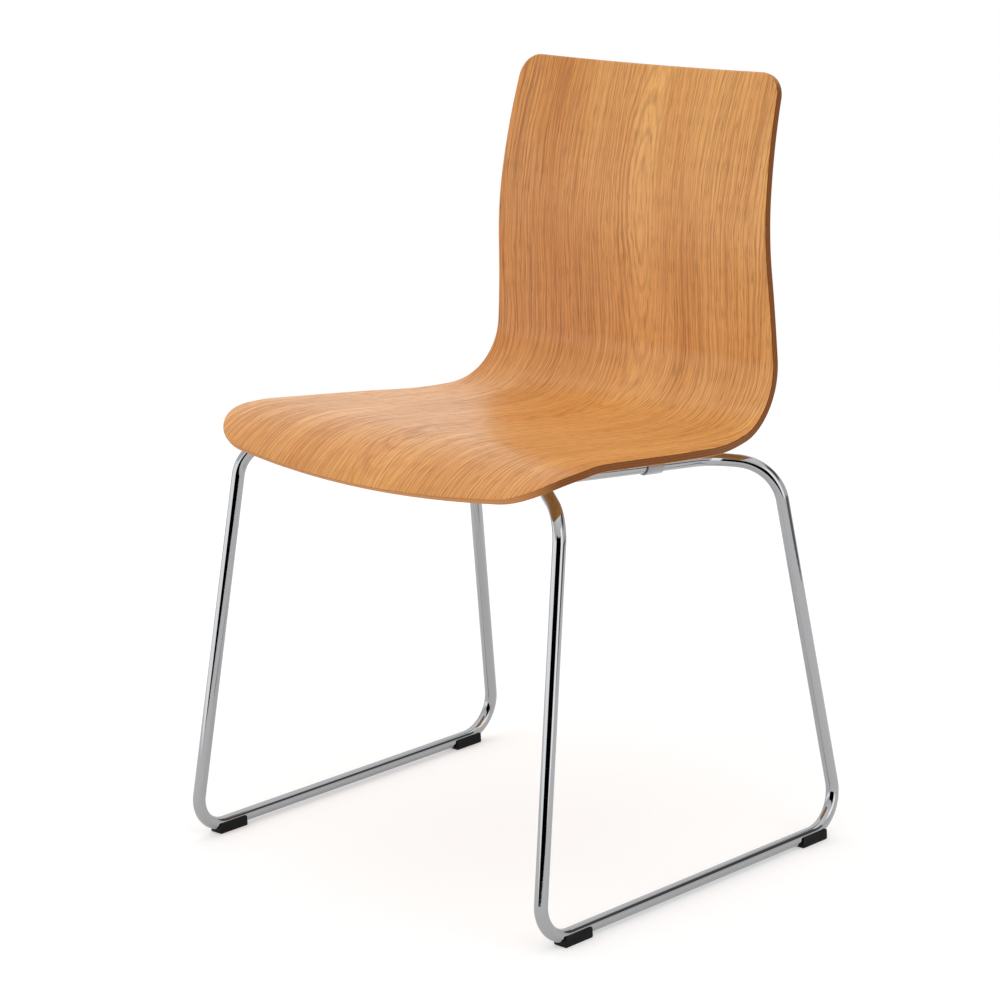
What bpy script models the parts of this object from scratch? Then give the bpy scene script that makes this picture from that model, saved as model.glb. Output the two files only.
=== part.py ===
"""Stacking chair: a bent plywood shell screwed to a frame of two closed tube loops and two flat crossbars.

Metres, +Z up, +Y towards the back, X across. The origin is on the floor, under the middle of the chair.
"""
import math

import bmesh
import bpy
from mathutils import Matrix, Vector

# Where the design's lengthwise datum, midway between the feet's corners, lies from the origin
DATUM_Y = -0.0163

# Plywood shell: its sitting face is bent from a flat blank, measured from the front edge to the top
SHELL_THICKNESS = 0.009
SHELL_FRONT_Y = -0.2029
SHELL_FRONT_Z = 0.4340
SHELL_FRONT_RISE = 50.1
# Each stretch of the bent profile: its length, and the angle it turns upwards, in degrees
SHELL_BENDS = (
    (0.076, -44.0),  # rolled front edge
    (0.050, -13.0),  # crest behind the knees
    (0.168, 0.0),    # seat
    (0.066, 9.8),    # hollow of the seat
    (0.099, 84.7),   # bend from seat to back
    (0.088, 3.7),    # small of the back
    (0.081, -11.9),  # lean of the back
    (0.1305, -10.9),  # top of the back
)
SHELL_LENGTH = sum(length for length, turn in SHELL_BENDS)
BEND_STEP = 6.0
SEARCH_STEPS = 40

# Outline of the flat blank
FRONT_EDGE_RADIUS = 1.3
FRONT_CORNER_RADIUS = 0.074
TOP_CORNER_RADIUS = 0.027
TOP_EDGE_SAG = 0.0015
SEAT_HALF_WIDTH = 0.255
SIDE_TAPER = 0.055
SIDE_STEPS = 26
WAIST_DROP = 0.030
WAIST_S = 0.342
WAIST_SPREAD = 0.030

# Steel tube of the side loops
TUBE_RADIUS = 0.007
BORE_RADIUS = 0.005
TUBE_SIDES = 12
RUNNER_X = 0.2632
RUNNER_Z = 0.0095
FOOT_HALF_SPAN = 0.2279
FRONT_LEG_BACK = 0.1925
FRONT_LEG_IN = 0.0592
FRONT_LEG_TOP = 0.4241
REAR_LEG_FORWARD = 0.1183
REAR_LEG_IN = 0.0838
REAR_LEG_TOP = 0.4081
RAIL_X = 0.175
RAIL_FRONT_Y = -0.113
RAIL_FRONT_Z = 0.4451
RAIL_REAR_Y = 0.142
RAIL_REAR_Z = 0.4151
FRONT_FOOT_BEND = 0.034
REAR_FOOT_BEND = 0.042
FRONT_TOP_BEND = 0.042
REAR_TOP_BEND = 0.050
RAIL_BEND = 0.050
SEAM_Y = 0.030
SPIGOT_LENGTH = 0.050
SPIGOT_RADIUS = 0.0044

# Gap left between pieces that touch
GAP = 0.0003

# Crossbars welded on top of the rails
BAR_WIDTH = 0.036
BAR_THICKNESS = 0.005
BAR_HALF_LENGTH = 0.182
BAR_CORNER = 0.006
FRONT_BAR_Y = -0.082
REAR_BAR_Y = 0.108
SCREW_X = 0.110

# Screws, washers, spacers and the threaded inserts in the shell
SCREW_HOLE_RADIUS = 0.0033
SCREW_RADIUS = 0.0027
SCREW_POINT = 0.0006
SCREW_HEAD_RADIUS = 0.0056
SCREW_HEAD_HEIGHT = 0.0033
SCREW_HEAD_TOP_RADIUS = 0.0040
SCREW_HEAD_CROWN = 0.0013
SCREW_HEAD_CROWN_RADIUS = 0.0053
SOCKET_RADIUS = 0.0022
SOCKET_DEPTH = 0.0018
WASHER_RADIUS = 0.0080
WASHER_THICKNESS = 0.0016
SPACER_RADIUS = 0.0110
INSERT_RADIUS = 0.0050
INSERT_BORE = 0.0031
INSERT_LENGTH = 0.0066
INSERT_POCKET = 0.0070
# How far the pocket's cutter reaches out of the shell
POCKET_OVERSHOOT = 0.004

# Floor glides
GLIDE_LENGTH = 0.0385
GLIDE_HALF_WIDTH = 0.0085
GLIDE_HEIGHT = 0.0120
GLIDE_CORNER = 0.0028
FRONT_GLIDE_Y = -0.1988
REAR_GLIDE_Y = 0.1605
PEG_RADIUS = 0.0022
PEG_TOP = 0.0075
PEG_ROOT = 0.0008
PEG_HOLE_RADIUS = 0.0026

# Stacking buffers clipped under the rails
BUFFER_LENGTH = 0.024
BUFFER_WALL = 0.0016
BUFFER_Y = 0.049
BUFFER_HALF_WRAP = 100.0
BUFFER_STEPS = 14

COLOURS = {
    "oak": ((0.62, 0.33, 0.12), 0.45, 0.0),
    "chrome": ((0.80, 0.80, 0.82), 0.08, 1.0),
    "steel": ((0.55, 0.55, 0.57), 0.30, 1.0),
    "black_plastic": ((0.012, 0.012, 0.012), 0.45, 0.0),
    "clear_plastic": ((0.55, 0.57, 0.62), 0.35, 0.0),
    "rubber": ((0.03, 0.03, 0.03), 0.80, 0.0),
}


def clear_scene():
    for thing in list(bpy.data.objects):
        bpy.data.objects.remove(thing, do_unlink=True)


def material(name):
    found = bpy.data.materials.get(name)
    if found:
        return found
    colour, roughness, metallic = COLOURS[name]
    made = bpy.data.materials.new(name)
    made.use_nodes = True
    shader = made.node_tree.nodes["Principled BSDF"]
    shader.inputs["Base Color"].default_value = (*colour, 1.0)
    shader.inputs["Roughness"].default_value = roughness
    shader.inputs["Metallic"].default_value = metallic
    return made


def add_object(name, bm, finish, smooth=None):
    """Turn a finished bmesh into a named object; smooth is the sharp-edge angle in degrees."""
    bmesh.ops.recalc_face_normals(bm, faces=bm.faces)
    mesh = bpy.data.meshes.new(name)
    bm.to_mesh(mesh)
    bm.free()
    if smooth:
        mesh.shade_smooth()
        mesh.set_sharp_from_angle(angle=math.radians(smooth))
    thing = bpy.data.objects.new(name, mesh)
    thing.data.materials.append(material(finish))
    bpy.context.scene.collection.objects.link(thing)
    return thing


def hide_cutter(thing):
    thing.hide_render = True
    thing.display_type = "WIRE"


def cut(thing, cutter):
    boolean = thing.modifiers.new("cut_" + cutter.name, "BOOLEAN")
    boolean.operation = "DIFFERENCE"
    boolean.solver = "EXACT"
    boolean.object = cutter


# ---- shell ----

def shell_frame(s):
    """Point (y, z) on the sitting face at blank distance s from the front edge, and its slope in radians."""
    y, z, angle = SHELL_FRONT_Y + DATUM_Y, SHELL_FRONT_Z, math.radians(SHELL_FRONT_RISE)
    left = s
    for length, turn in SHELL_BENDS:
        run = min(left, length)
        bend = math.radians(turn) * run / length
        # The chord of an arc lies at its mean slope
        chord = run if abs(bend) < 1e-9 else run * math.sin(bend / 2) / (bend / 2)
        y += chord * math.cos(angle + bend / 2)
        z += chord * math.sin(angle + bend / 2)
        angle += bend
        left -= run
        if left <= 0.0:
            break
    return y, z, angle


def bent(x, s, depth):
    """Blank point (x, s), depth below the sitting face, in the bent shell."""
    y, z, angle = shell_frame(s)
    return Vector((x, y + depth * math.sin(angle), z - depth * math.cos(angle)))


def half_width(s):
    """The seat tapers gently, and the sides draw in to the waist where the shell turns up."""
    waist = WAIST_DROP / (1.0 + math.exp(-(s - WAIST_S) / WAIST_SPREAD))
    return SEAT_HALF_WIDTH - SIDE_TAPER * (s - FRONT_CORNER_RADIUS) - waist


def corner(centre_x, centre_s, radius, start, end, count):
    angles = [math.radians(start + (end - start) * i / count) for i in range(count + 1)]
    return [(centre_x + radius * math.sin(a), centre_s - radius * math.cos(a)) for a in angles]


def blank_outline():
    """Right half of the flat blank, from the middle of the front edge to the middle of the top edge."""
    taper = math.degrees(math.atan(SIDE_TAPER))
    centre_x = SEAT_HALF_WIDTH - FRONT_CORNER_RADIUS
    reach = FRONT_EDGE_RADIUS - FRONT_CORNER_RADIUS
    centre_s = FRONT_EDGE_RADIUS - math.sqrt(reach ** 2 - centre_x ** 2)
    meet = math.degrees(math.asin(centre_x / reach))
    outline = corner(0.0, FRONT_EDGE_RADIUS, FRONT_EDGE_RADIUS, 0.0, meet, 6)
    outline += corner(centre_x, centre_s, FRONT_CORNER_RADIUS, meet, 90.0 + taper, 10)[1:]
    first = outline[-1][1]
    top_s = SHELL_LENGTH - TOP_CORNER_RADIUS
    stations = [first + (top_s - first) * i / SIDE_STEPS for i in range(1, SIDE_STEPS)]
    outline += [(half_width(s), s) for s in stations]
    top_x = half_width(top_s) - TOP_CORNER_RADIUS
    outline += corner(top_x, top_s, TOP_CORNER_RADIUS, 90.0 + taper, 180.0, 7)
    outline.append((0.0, SHELL_LENGTH - TOP_EDGE_SAG))
    return outline


def bend_stations():
    """Blank distances where the shell's facets meet."""
    stations = []
    s = 0.0
    for length, turn in SHELL_BENDS:
        count = max(1, math.ceil(abs(turn) / BEND_STEP))
        stations += [s + length * i / count for i in range(1, count + 1)]
        s += length
    return stations[:-1]


def add_shell():
    right = blank_outline()
    left = [(-x, s) for x, s in reversed(right[1:-1])]
    bm = bmesh.new()
    corners = [bm.verts.new((x, s, 0.0)) for x, s in right + left]
    bm.faces.new(corners)
    for s in bend_stations():
        geometry = bm.verts[:] + bm.edges[:] + bm.faces[:]
        bmesh.ops.bisect_plane(bm, geom=geometry, dist=1e-6, plane_co=(0, s, 0), plane_no=(0, 1, 0))
    upper = bm.faces[:]
    made = bmesh.ops.extrude_face_region(bm, geom=upper, use_keep_orig=True)
    lower = [v for v in made["geom"] if isinstance(v, bmesh.types.BMVert)]
    for v in lower:
        v.co.z = SHELL_THICKNESS
    for v in bm.verts:
        v.co = bent(v.co.x, v.co.y, v.co.z)
    return add_object("seat_shell", bm, "oak", smooth=35)


# ---- tubes ----

def fillet_path(points, radii, step=10.0):
    """Polyline through the points with each inner corner rounded to its radius."""
    path = [points[0]]
    for i, radius in enumerate(radii, start=1):
        here = points[i]
        before = (points[i - 1] - here).normalized()
        after = (points[i + 1] - here).normalized()
        opening = before.angle(after)
        turn = math.pi - opening
        centre = here + (before + after).normalized() * radius / math.sin(opening / 2)
        start = here + before * radius / math.tan(opening / 2) - centre
        end = here + after * radius / math.tan(opening / 2) - centre
        count = max(3, math.ceil(math.degrees(turn) / step))
        for k in range(count + 1):
            t = k / count
            arm = (start * math.sin((1 - t) * turn) + end * math.sin(t * turn)) / math.sin(turn)
            path.append(centre + arm)
    path.append(points[-1])
    return path


def path_frames(path, up):
    """A sideways and an upward unit vector at each point, turned as little as possible along the path."""
    frames = []
    normal = up
    for i, point in enumerate(path):
        ahead = path[min(i + 1, len(path) - 1)] - path[max(i - 1, 0)]
        ahead.normalize()
        normal = (normal - ahead * normal.dot(ahead)).normalized()
        frames.append((point, normal.copy(), ahead.cross(normal)))
    return frames


def ring(bm, frame, radius, sides):
    point, normal, side = frame
    angles = [2 * math.pi * k / sides for k in range(sides)]
    return [bm.verts.new(point + (normal * math.cos(a) + side * math.sin(a)) * radius) for a in angles]


def bridge(bm, first, second):
    count = len(first)
    for k in range(count):
        bm.faces.new((first[k], first[(k + 1) % count], second[(k + 1) % count], second[k]))


def tube_bmesh(path, radius, bore=None, sides=TUBE_SIDES, up=Vector((0, 0, 1))):
    """Round bar along the path, or a tube open at both ends when a bore is given."""
    bm = bmesh.new()
    frames = path_frames(path, up)
    outer = [ring(bm, frame, radius, sides) for frame in frames]
    for a, b in zip(outer, outer[1:]):
        bridge(bm, a, b)
    if bore is None:
        bm.faces.new(outer[0])
        bm.faces.new(outer[-1])
        return bm
    inner = [ring(bm, frame, bore, sides) for frame in frames]
    for a, b in zip(inner, inner[1:]):
        bridge(bm, a, b)
    bridge(bm, outer[0], inner[0])
    bridge(bm, outer[-1], inner[-1])
    return bm


def rail_z(y):
    """Height of the rails' centre line at design distance y."""
    slope = (RAIL_REAR_Z - RAIL_FRONT_Z) / (RAIL_REAR_Y - RAIL_FRONT_Y)
    return RAIL_FRONT_Z + slope * (y - RAIL_FRONT_Y)


def place(x, y, z):
    return Vector((x, y + DATUM_Y, z))


def leg_corner(side, front, height):
    """Point of a leg's centre line at a height above the floor."""
    rise = height - RUNNER_Z
    if front:
        return place(side * (RUNNER_X - FRONT_LEG_IN * rise), -FOOT_HALF_SPAN + FRONT_LEG_BACK * rise, height)
    return place(side * (RUNNER_X - REAR_LEG_IN * rise), FOOT_HALF_SPAN - REAR_LEG_FORWARD * rise, height)


def loop_path(side, seam=GAP / 2):
    """Centre line of one side loop, from the seam in its rail forward, round the feet and back."""
    points = [
        place(side * RAIL_X, SEAM_Y - seam, rail_z(SEAM_Y - seam)),
        place(side * RAIL_X, RAIL_FRONT_Y, RAIL_FRONT_Z),
        leg_corner(side, True, FRONT_LEG_TOP),
        leg_corner(side, True, RUNNER_Z),
        leg_corner(side, False, RUNNER_Z),
        leg_corner(side, False, REAR_LEG_TOP),
        place(side * RAIL_X, RAIL_REAR_Y, RAIL_REAR_Z),
        place(side * RAIL_X, SEAM_Y + seam, rail_z(SEAM_Y + seam)),
    ]
    radii = [RAIL_BEND, FRONT_TOP_BEND, FRONT_FOOT_BEND, REAR_FOOT_BEND, REAR_TOP_BEND, RAIL_BEND]
    return fillet_path(points, radii)


def add_loop(side, name):
    loop = add_object(name, tube_bmesh(loop_path(side), TUBE_RADIUS, BORE_RADIUS), "chrome", smooth=40)
    for front in (True, False):
        y = glide_middle(front)
        bm = bmesh.new()
        bmesh.ops.create_cone(bm, cap_ends=True, segments=8, radius1=PEG_HOLE_RADIUS,
                              radius2=PEG_HOLE_RADIUS, depth=RUNNER_Z)
        bmesh.ops.translate(bm, verts=bm.verts, vec=place(side * RUNNER_X, y, RUNNER_Z / 2))
        cutter = add_object(f"{name}_{'front' if front else 'rear'}_hole", bm, "chrome")
        hide_cutter(cutter)
        cut(loop, cutter)
    return loop


def add_spigot(side, name):
    """Plug pressed into both ends of the tube at the seam."""
    reach = SPIGOT_LENGTH / 2
    ends = [place(side * RAIL_X, SEAM_Y + d, rail_z(SEAM_Y + d)) for d in (-reach, reach)]
    add_object(name, tube_bmesh(ends, SPIGOT_RADIUS), "steel", smooth=40)


# ---- crossbars and fixings ----

def seat_tilt():
    return math.atan2(RAIL_REAR_Z - RAIL_FRONT_Z, RAIL_REAR_Y - RAIL_FRONT_Y)


def on_bar(x, y, height):
    """Matrix of a part that stands square on the tilted rails, height above their top."""
    base = place(x, y, rail_z(y))
    tilt = Matrix.Rotation(seat_tilt(), 4, "X")
    return Matrix.Translation(base) @ tilt @ Matrix.Translation((0, 0, TUBE_RADIUS + height))


def underside_height(y):
    """Height from the rails' top to the shell's underside, square to the rails."""
    into_bar = on_bar(0.0, y, 0.0).inverted()
    low, high = 0.0, SHELL_LENGTH / 2
    # The blank distance straight above the point is closed in on by halving
    for _ in range(SEARCH_STEPS):
        middle = (low + high) / 2
        if (into_bar @ bent(0.0, middle, SHELL_THICKNESS)).y < 0.0:
            low = middle
        else:
            high = middle
    return (into_bar @ bent(0.0, low, SHELL_THICKNESS)).z


def add_turned(name, sections, matrix, finish, sides=20, bore=None):
    """Turned part from (radius, height) sections, lowest first, solid or with a plain bore."""
    bm = bmesh.new()
    rings = []
    for radius, height in sections:
        angles = [2 * math.pi * k / sides for k in range(sides)]
        rings.append([bm.verts.new((radius * math.cos(a), radius * math.sin(a), height)) for a in angles])
    if bore is not None:
        low, high = sections[0][1], sections[-1][1]
        for height in (high, low):
            angles = [2 * math.pi * k / sides for k in range(sides)]
            rings.append([bm.verts.new((bore * math.cos(a), bore * math.sin(a), height)) for a in angles])
        rings.append(rings[0])
    for a, b in zip(rings, rings[1:]):
        bridge(bm, a, b)
    if bore is None:
        bm.faces.new(rings[0])
        bm.faces.new(rings[-1])
    bm.transform(matrix)
    return add_object(name, bm, finish, smooth=35)


def add_crossbar(name, y):
    bm = bmesh.new()
    bmesh.ops.create_cube(bm, size=1.0)
    bmesh.ops.scale(bm, verts=bm.verts, vec=(2 * BAR_HALF_LENGTH, BAR_WIDTH, BAR_THICKNESS))
    upright = [e for e in bm.edges if abs(e.verts[0].co.z - e.verts[1].co.z) > BAR_THICKNESS / 2]
    bmesh.ops.bevel(bm, geom=upright, offset=BAR_CORNER, segments=3, affect="EDGES")
    bm.transform(on_bar(0.0, y, GAP + BAR_THICKNESS / 2))
    bar = add_object(name, bm, "chrome", smooth=35)
    for side, word in ((1, "right"), (-1, "left")):
        cutter_bm = bmesh.new()
        bmesh.ops.create_cone(cutter_bm, cap_ends=True, segments=16, radius1=SCREW_HOLE_RADIUS,
                              radius2=SCREW_HOLE_RADIUS, depth=3 * BAR_THICKNESS)
        cutter_bm.transform(on_bar(side * SCREW_X, y, GAP + BAR_THICKNESS / 2))
        cutter = add_object(f"{name}_{word}_hole", cutter_bm, "chrome")
        hide_cutter(cutter)
        cut(bar, cutter)


def add_fixing(shell, end, word, x, y):
    """Insert in the shell, spacer, washer and screw at one corner of the seat."""
    bar_top = GAP + BAR_THICKNESS
    gap_height = underside_height(y)
    spacer_low, spacer_high = bar_top + GAP, gap_height - 2 * GAP
    spacer = ((SPACER_RADIUS, spacer_low), (SPACER_RADIUS, spacer_high))
    add_turned(f"spacer_{end}_{word}", spacer, on_bar(x, y, 0), "rubber", bore=SCREW_HOLE_RADIUS)

    washer = ((WASHER_RADIUS, -WASHER_THICKNESS), (WASHER_RADIUS, 0.0))
    add_turned(f"washer_{end}_{word}", washer, on_bar(x, y, 0), "steel", bore=SCREW_HOLE_RADIUS)

    pocket_top = gap_height + INSERT_POCKET
    insert_low = gap_height + GAP
    insert = ((INSERT_RADIUS, insert_low), (INSERT_RADIUS, insert_low + INSERT_LENGTH - 2 * GAP))
    add_turned(f"insert_{end}_{word}", insert, on_bar(x, y, 0), "steel", bore=INSERT_BORE)

    head_top = -WASHER_THICKNESS - GAP
    head_low = head_top - SCREW_HEAD_HEIGHT
    tip = pocket_top - 4 * GAP
    screw = (
        (SOCKET_RADIUS, head_low + SOCKET_DEPTH),
        (SOCKET_RADIUS, head_low),
        (SCREW_HEAD_TOP_RADIUS, head_low),
        (SCREW_HEAD_CROWN_RADIUS, head_low + SCREW_HEAD_CROWN),
        (SCREW_HEAD_RADIUS, head_top),
        (SCREW_RADIUS, head_top),
        (SCREW_RADIUS, tip - SCREW_POINT),
        (SCREW_RADIUS - SCREW_POINT, tip),
    )
    add_turned(f"screw_{end}_{word}", screw, on_bar(x, y, 0), "steel", sides=12)

    bm = bmesh.new()
    depth = INSERT_POCKET + POCKET_OVERSHOOT
    bmesh.ops.create_cone(bm, cap_ends=True, segments=20, radius1=INSERT_RADIUS + GAP,
                          radius2=INSERT_RADIUS + GAP, depth=depth)
    bm.transform(on_bar(x, y, pocket_top - depth / 2))
    cutter = add_object(f"pocket_{end}_{word}", bm, "oak")
    hide_cutter(cutter)
    cut(shell, cutter)


# ---- glides and buffers ----

def glide_middle(front):
    return (FRONT_GLIDE_Y if front else REAR_GLIDE_Y) + GLIDE_LENGTH / 2


def add_glide(side, front, name):
    """Saddle under a runner, hollowed to the tube, with a peg that snaps into a hole in the tube."""
    y = glide_middle(front)
    bm = bmesh.new()
    bmesh.ops.create_cube(bm, size=1.0)
    bmesh.ops.scale(bm, verts=bm.verts, vec=(2 * GLIDE_HALF_WIDTH, GLIDE_LENGTH, GLIDE_HEIGHT))
    across = [e for e in bm.edges if abs(e.verts[0].co.x - e.verts[1].co.x) > GLIDE_HALF_WIDTH]
    raised = [e for e in across if e.verts[0].co.z > 0]
    bmesh.ops.bevel(bm, geom=raised, offset=GLIDE_CORNER, segments=4, affect="EDGES")
    bmesh.ops.translate(bm, verts=bm.verts, vec=place(side * RUNNER_X, y, GLIDE_HEIGHT / 2))
    glide = add_object(name, bm, "black_plastic", smooth=35)

    saddle = [p for p in loop_path(side) if p.z < FRONT_FOOT_BEND]
    groove = add_object(name + "_groove", tube_bmesh(saddle, TUBE_RADIUS + GAP), "black_plastic")
    hide_cutter(groove)
    cut(glide, groove)

    peg_bm = bmesh.new()
    low = RUNNER_Z - TUBE_RADIUS - GAP - PEG_ROOT
    bmesh.ops.create_cone(peg_bm, cap_ends=True, segments=8, radius1=PEG_RADIUS,
                          radius2=PEG_RADIUS, depth=PEG_TOP - low)
    bmesh.ops.translate(peg_bm, verts=peg_bm.verts, vec=place(side * RUNNER_X, y, (PEG_TOP + low) / 2))
    peg = add_object(name + "_peg", peg_bm, "black_plastic")
    hide_cutter(peg)
    join = glide.modifiers.new("peg", "BOOLEAN")
    join.operation = "UNION"
    join.solver = "EXACT"
    join.object = peg


def add_buffer(side, name):
    """Open clip that hugs the lower side of a rail."""
    inner, outer = TUBE_RADIUS + GAP, TUBE_RADIUS + GAP + BUFFER_WALL
    step = 2 * BUFFER_HALF_WRAP / BUFFER_STEPS
    turns = [math.radians(-90 - BUFFER_HALF_WRAP + step * k) for k in range(BUFFER_STEPS + 1)]
    section = [(outer * math.cos(a), outer * math.sin(a)) for a in turns]
    section += [(inner * math.cos(a), inner * math.sin(a)) for a in reversed(turns)]
    bm = bmesh.new()
    ends = []
    for along in (-BUFFER_LENGTH / 2, BUFFER_LENGTH / 2):
        ends.append([bm.verts.new((across, along, up)) for across, up in section])
    bridge(bm, ends[0], ends[1])
    for end in ends:
        # A strip of quads closes each end of the open clip
        for k in range(BUFFER_STEPS):
            bm.faces.new((end[k], end[k + 1], end[-2 - k], end[-1 - k]))
    bm.transform(on_bar(side * RAIL_X, BUFFER_Y, -TUBE_RADIUS))
    add_object(name, bm, "clear_plastic", smooth=35)


def main():
    clear_scene()
    shell = add_shell()
    sides = ((1, "right"), (-1, "left"))
    for side, word in sides:
        add_loop(side, f"frame_loop_{word}")
        add_spigot(side, f"seam_spigot_{word}")
        for front, end in ((True, "front"), (False, "rear")):
            add_glide(side, front, f"glide_{end}_{word}")
        add_buffer(side, f"stacking_buffer_{word}")
    for end, y in (("front", FRONT_BAR_Y), ("rear", REAR_BAR_Y)):
        add_crossbar(f"crossbar_{end}", y)
        for side, word in sides:
            add_fixing(shell, end, word, side * SCREW_X, y)


main()
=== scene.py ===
import math

import bmesh
import bpy
from mathutils import Matrix, Vector


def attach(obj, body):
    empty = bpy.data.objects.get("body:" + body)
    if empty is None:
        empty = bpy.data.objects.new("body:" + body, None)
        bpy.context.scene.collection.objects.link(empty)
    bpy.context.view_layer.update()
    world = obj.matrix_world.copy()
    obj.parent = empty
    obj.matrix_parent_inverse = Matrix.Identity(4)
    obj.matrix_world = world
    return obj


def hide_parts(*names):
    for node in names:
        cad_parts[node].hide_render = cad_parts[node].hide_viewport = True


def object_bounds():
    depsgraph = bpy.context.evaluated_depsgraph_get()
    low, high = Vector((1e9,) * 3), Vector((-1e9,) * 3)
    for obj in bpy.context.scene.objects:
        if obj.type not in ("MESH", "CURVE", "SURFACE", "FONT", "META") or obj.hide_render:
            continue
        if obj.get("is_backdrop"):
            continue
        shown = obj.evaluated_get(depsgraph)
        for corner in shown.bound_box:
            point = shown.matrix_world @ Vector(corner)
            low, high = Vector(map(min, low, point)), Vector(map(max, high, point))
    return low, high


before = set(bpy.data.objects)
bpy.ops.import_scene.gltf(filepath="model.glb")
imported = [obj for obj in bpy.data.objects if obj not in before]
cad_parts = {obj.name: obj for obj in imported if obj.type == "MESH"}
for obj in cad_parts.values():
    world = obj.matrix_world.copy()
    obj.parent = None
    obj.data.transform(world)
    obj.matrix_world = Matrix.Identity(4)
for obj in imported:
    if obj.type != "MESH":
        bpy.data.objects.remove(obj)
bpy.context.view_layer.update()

sides = ((1, "right"), (-1, "left"))
ends = ("front", "rear")


# ---- Side loops ----
# Each side of the base is one length of round steel tube, 14 mm across, bent at six places on a
# tube bender until its two ends meet in the rail under the seat. The ends are closed over a plug,
# and the whole base is bright chromed after welding.

# Where the base's lengthwise datum, midway between the feet's corners, lies from the origin
datum_y = -0.0163
tube_radius = 0.007
tube_sides = 48
runner_x = 0.2632
runner_z = 0.0095
foot_half_span = 0.2279
# Each leg: its slope along the chair, its slope inwards, and the height of its top corner
legs = {"front": (0.1925, 0.0592, 0.4241), "rear": (0.1183, 0.0838, 0.4081)}
rail_x = 0.175
# Corners at the rails' ends, each as its distance from the datum and its height
rail_front = (-0.113, 0.4451)
rail_rear = (0.142, 0.4151)
rail_bend, front_top_bend, front_foot_bend = 0.050, 0.042, 0.034
rear_foot_bend, rear_top_bend = 0.042, 0.050
bend_step = math.radians(3.0)


def place(x, y, z):
    return Vector((x, y + datum_y, z))


def leg_corner(side, end, height):
    back, inwards, top = legs[end]
    rise = height - runner_z
    forward = -1 if end == "front" else 1
    return place(side * (runner_x - inwards * rise), forward * (foot_half_span - back * rise), height)


def loop_route(side):
    """Centre line of one closed side loop, with every corner rounded."""
    corners = [
        (place(side * rail_x, *rail_front), rail_bend),
        (leg_corner(side, "front", legs["front"][2]), front_top_bend),
        (leg_corner(side, "front", runner_z), front_foot_bend),
        (leg_corner(side, "rear", runner_z), rear_foot_bend),
        (leg_corner(side, "rear", legs["rear"][2]), rear_top_bend),
        (place(side * rail_x, *rail_rear), rail_bend),
    ]
    route = []
    for i, (here, radius) in enumerate(corners):
        before = (corners[i - 1][0] - here).normalized()
        after = (corners[(i + 1) % len(corners)][0] - here).normalized()
        opening = before.angle(after)
        turn = math.pi - opening
        centre = here + (before + after).normalized() * radius / math.sin(opening / 2)
        start = here + before * radius / math.tan(opening / 2) - centre
        finish = here + after * radius / math.tan(opening / 2) - centre
        count = math.ceil(turn / bend_step)
        for k in range(count + 1):
            t = k / count
            swung = start * math.sin((1 - t) * turn) + finish * math.sin(t * turn)
            route.append(centre + swung / math.sin(turn))
    return route


def set_down(name, data):
    """Puts a new object with this mesh, curve or camera in the scene, at the origin."""
    made = bpy.data.objects.new(name, data)
    bpy.context.scene.collection.objects.link(made)
    return made


def base_of(name, points, edges=()):
    """Points, joined where the edges say, as the base that a node tree grows a piece on."""
    mesh = bpy.data.meshes.new(name)
    mesh.from_pydata([tuple(p) for p in points], edges, [])
    return set_down(name, mesh)


def new_tree(name, sockets):
    tree = bpy.data.node_groups.new(name, "GeometryNodeTree")
    tree.interface.new_socket("Geometry", in_out="INPUT", socket_type="NodeSocketGeometry")
    for label, kind in sockets:
        tree.interface.new_socket(label, in_out="INPUT", socket_type="NodeSocket" + kind)
    tree.interface.new_socket("Geometry", in_out="OUTPUT", socket_type="NodeSocketGeometry")
    return tree, tree.nodes.new("NodeGroupInput").outputs


def step(tree, kind, settings=None, **inputs):
    """Adds a node, sets its properties, and fills its sockets with values or links. A socket goes
    by its label, with underscores for spaces, or by its number as i0, i1 and so on."""
    made = tree.nodes.new(kind)
    for key, value in (settings or {}).items():
        setattr(made, key, value)
    for key, value in inputs.items():
        numbered = key[0] == "i" and key[1:].isdigit()
        socket = made.inputs[int(key[1:]) if numbered else key.replace("_", " ")]
        if isinstance(value, bpy.types.NodeSocket):
            tree.links.new(value, socket)
        else:
            socket.default_value = value
    return made


def close_tree(tree, geometry, finish):
    real = step(tree, "GeometryNodeRealizeInstances", Geometry=geometry)
    dressed = step(tree, "GeometryNodeSetMaterial", Geometry=real.outputs[0], Material=finish)
    tree.links.new(dressed.outputs[0], tree.nodes.new("NodeGroupOutput").inputs[0])


def keep(name, mesh, sharp=None):
    """Makes the object of a finished mesh, faces outwards; sharp is its crease angle in degrees."""
    bm = bmesh.new()
    bm.from_mesh(mesh)
    bmesh.ops.recalc_face_normals(bm, faces=bm.faces)
    bm.to_mesh(mesh)
    bm.free()
    if sharp:
        mesh.shade_smooth()
        mesh.set_sharp_from_angle(angle=math.radians(sharp))
    mesh.name = name
    return set_down(name, mesh)


def grow(name, base, tree, values):
    """Runs a node tree on its base and keeps the result as a plain mesh at the origin."""
    modifier = base.modifiers.new(tree.name, "NODES")
    modifier.node_group = tree
    for item in tree.interface.items_tree:
        if item.name in values and item.in_out == "INPUT":
            modifier[item.identifier] = values[item.name]
    graph = bpy.context.evaluated_depsgraph_get()
    mesh = bpy.data.meshes.new_from_object(base.evaluated_get(graph), depsgraph=graph)
    bpy.data.objects.remove(base)
    return keep(name, mesh)


def hand_over(piece, slot, *nodes):
    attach(piece, "root")
    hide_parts(*nodes)


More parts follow.
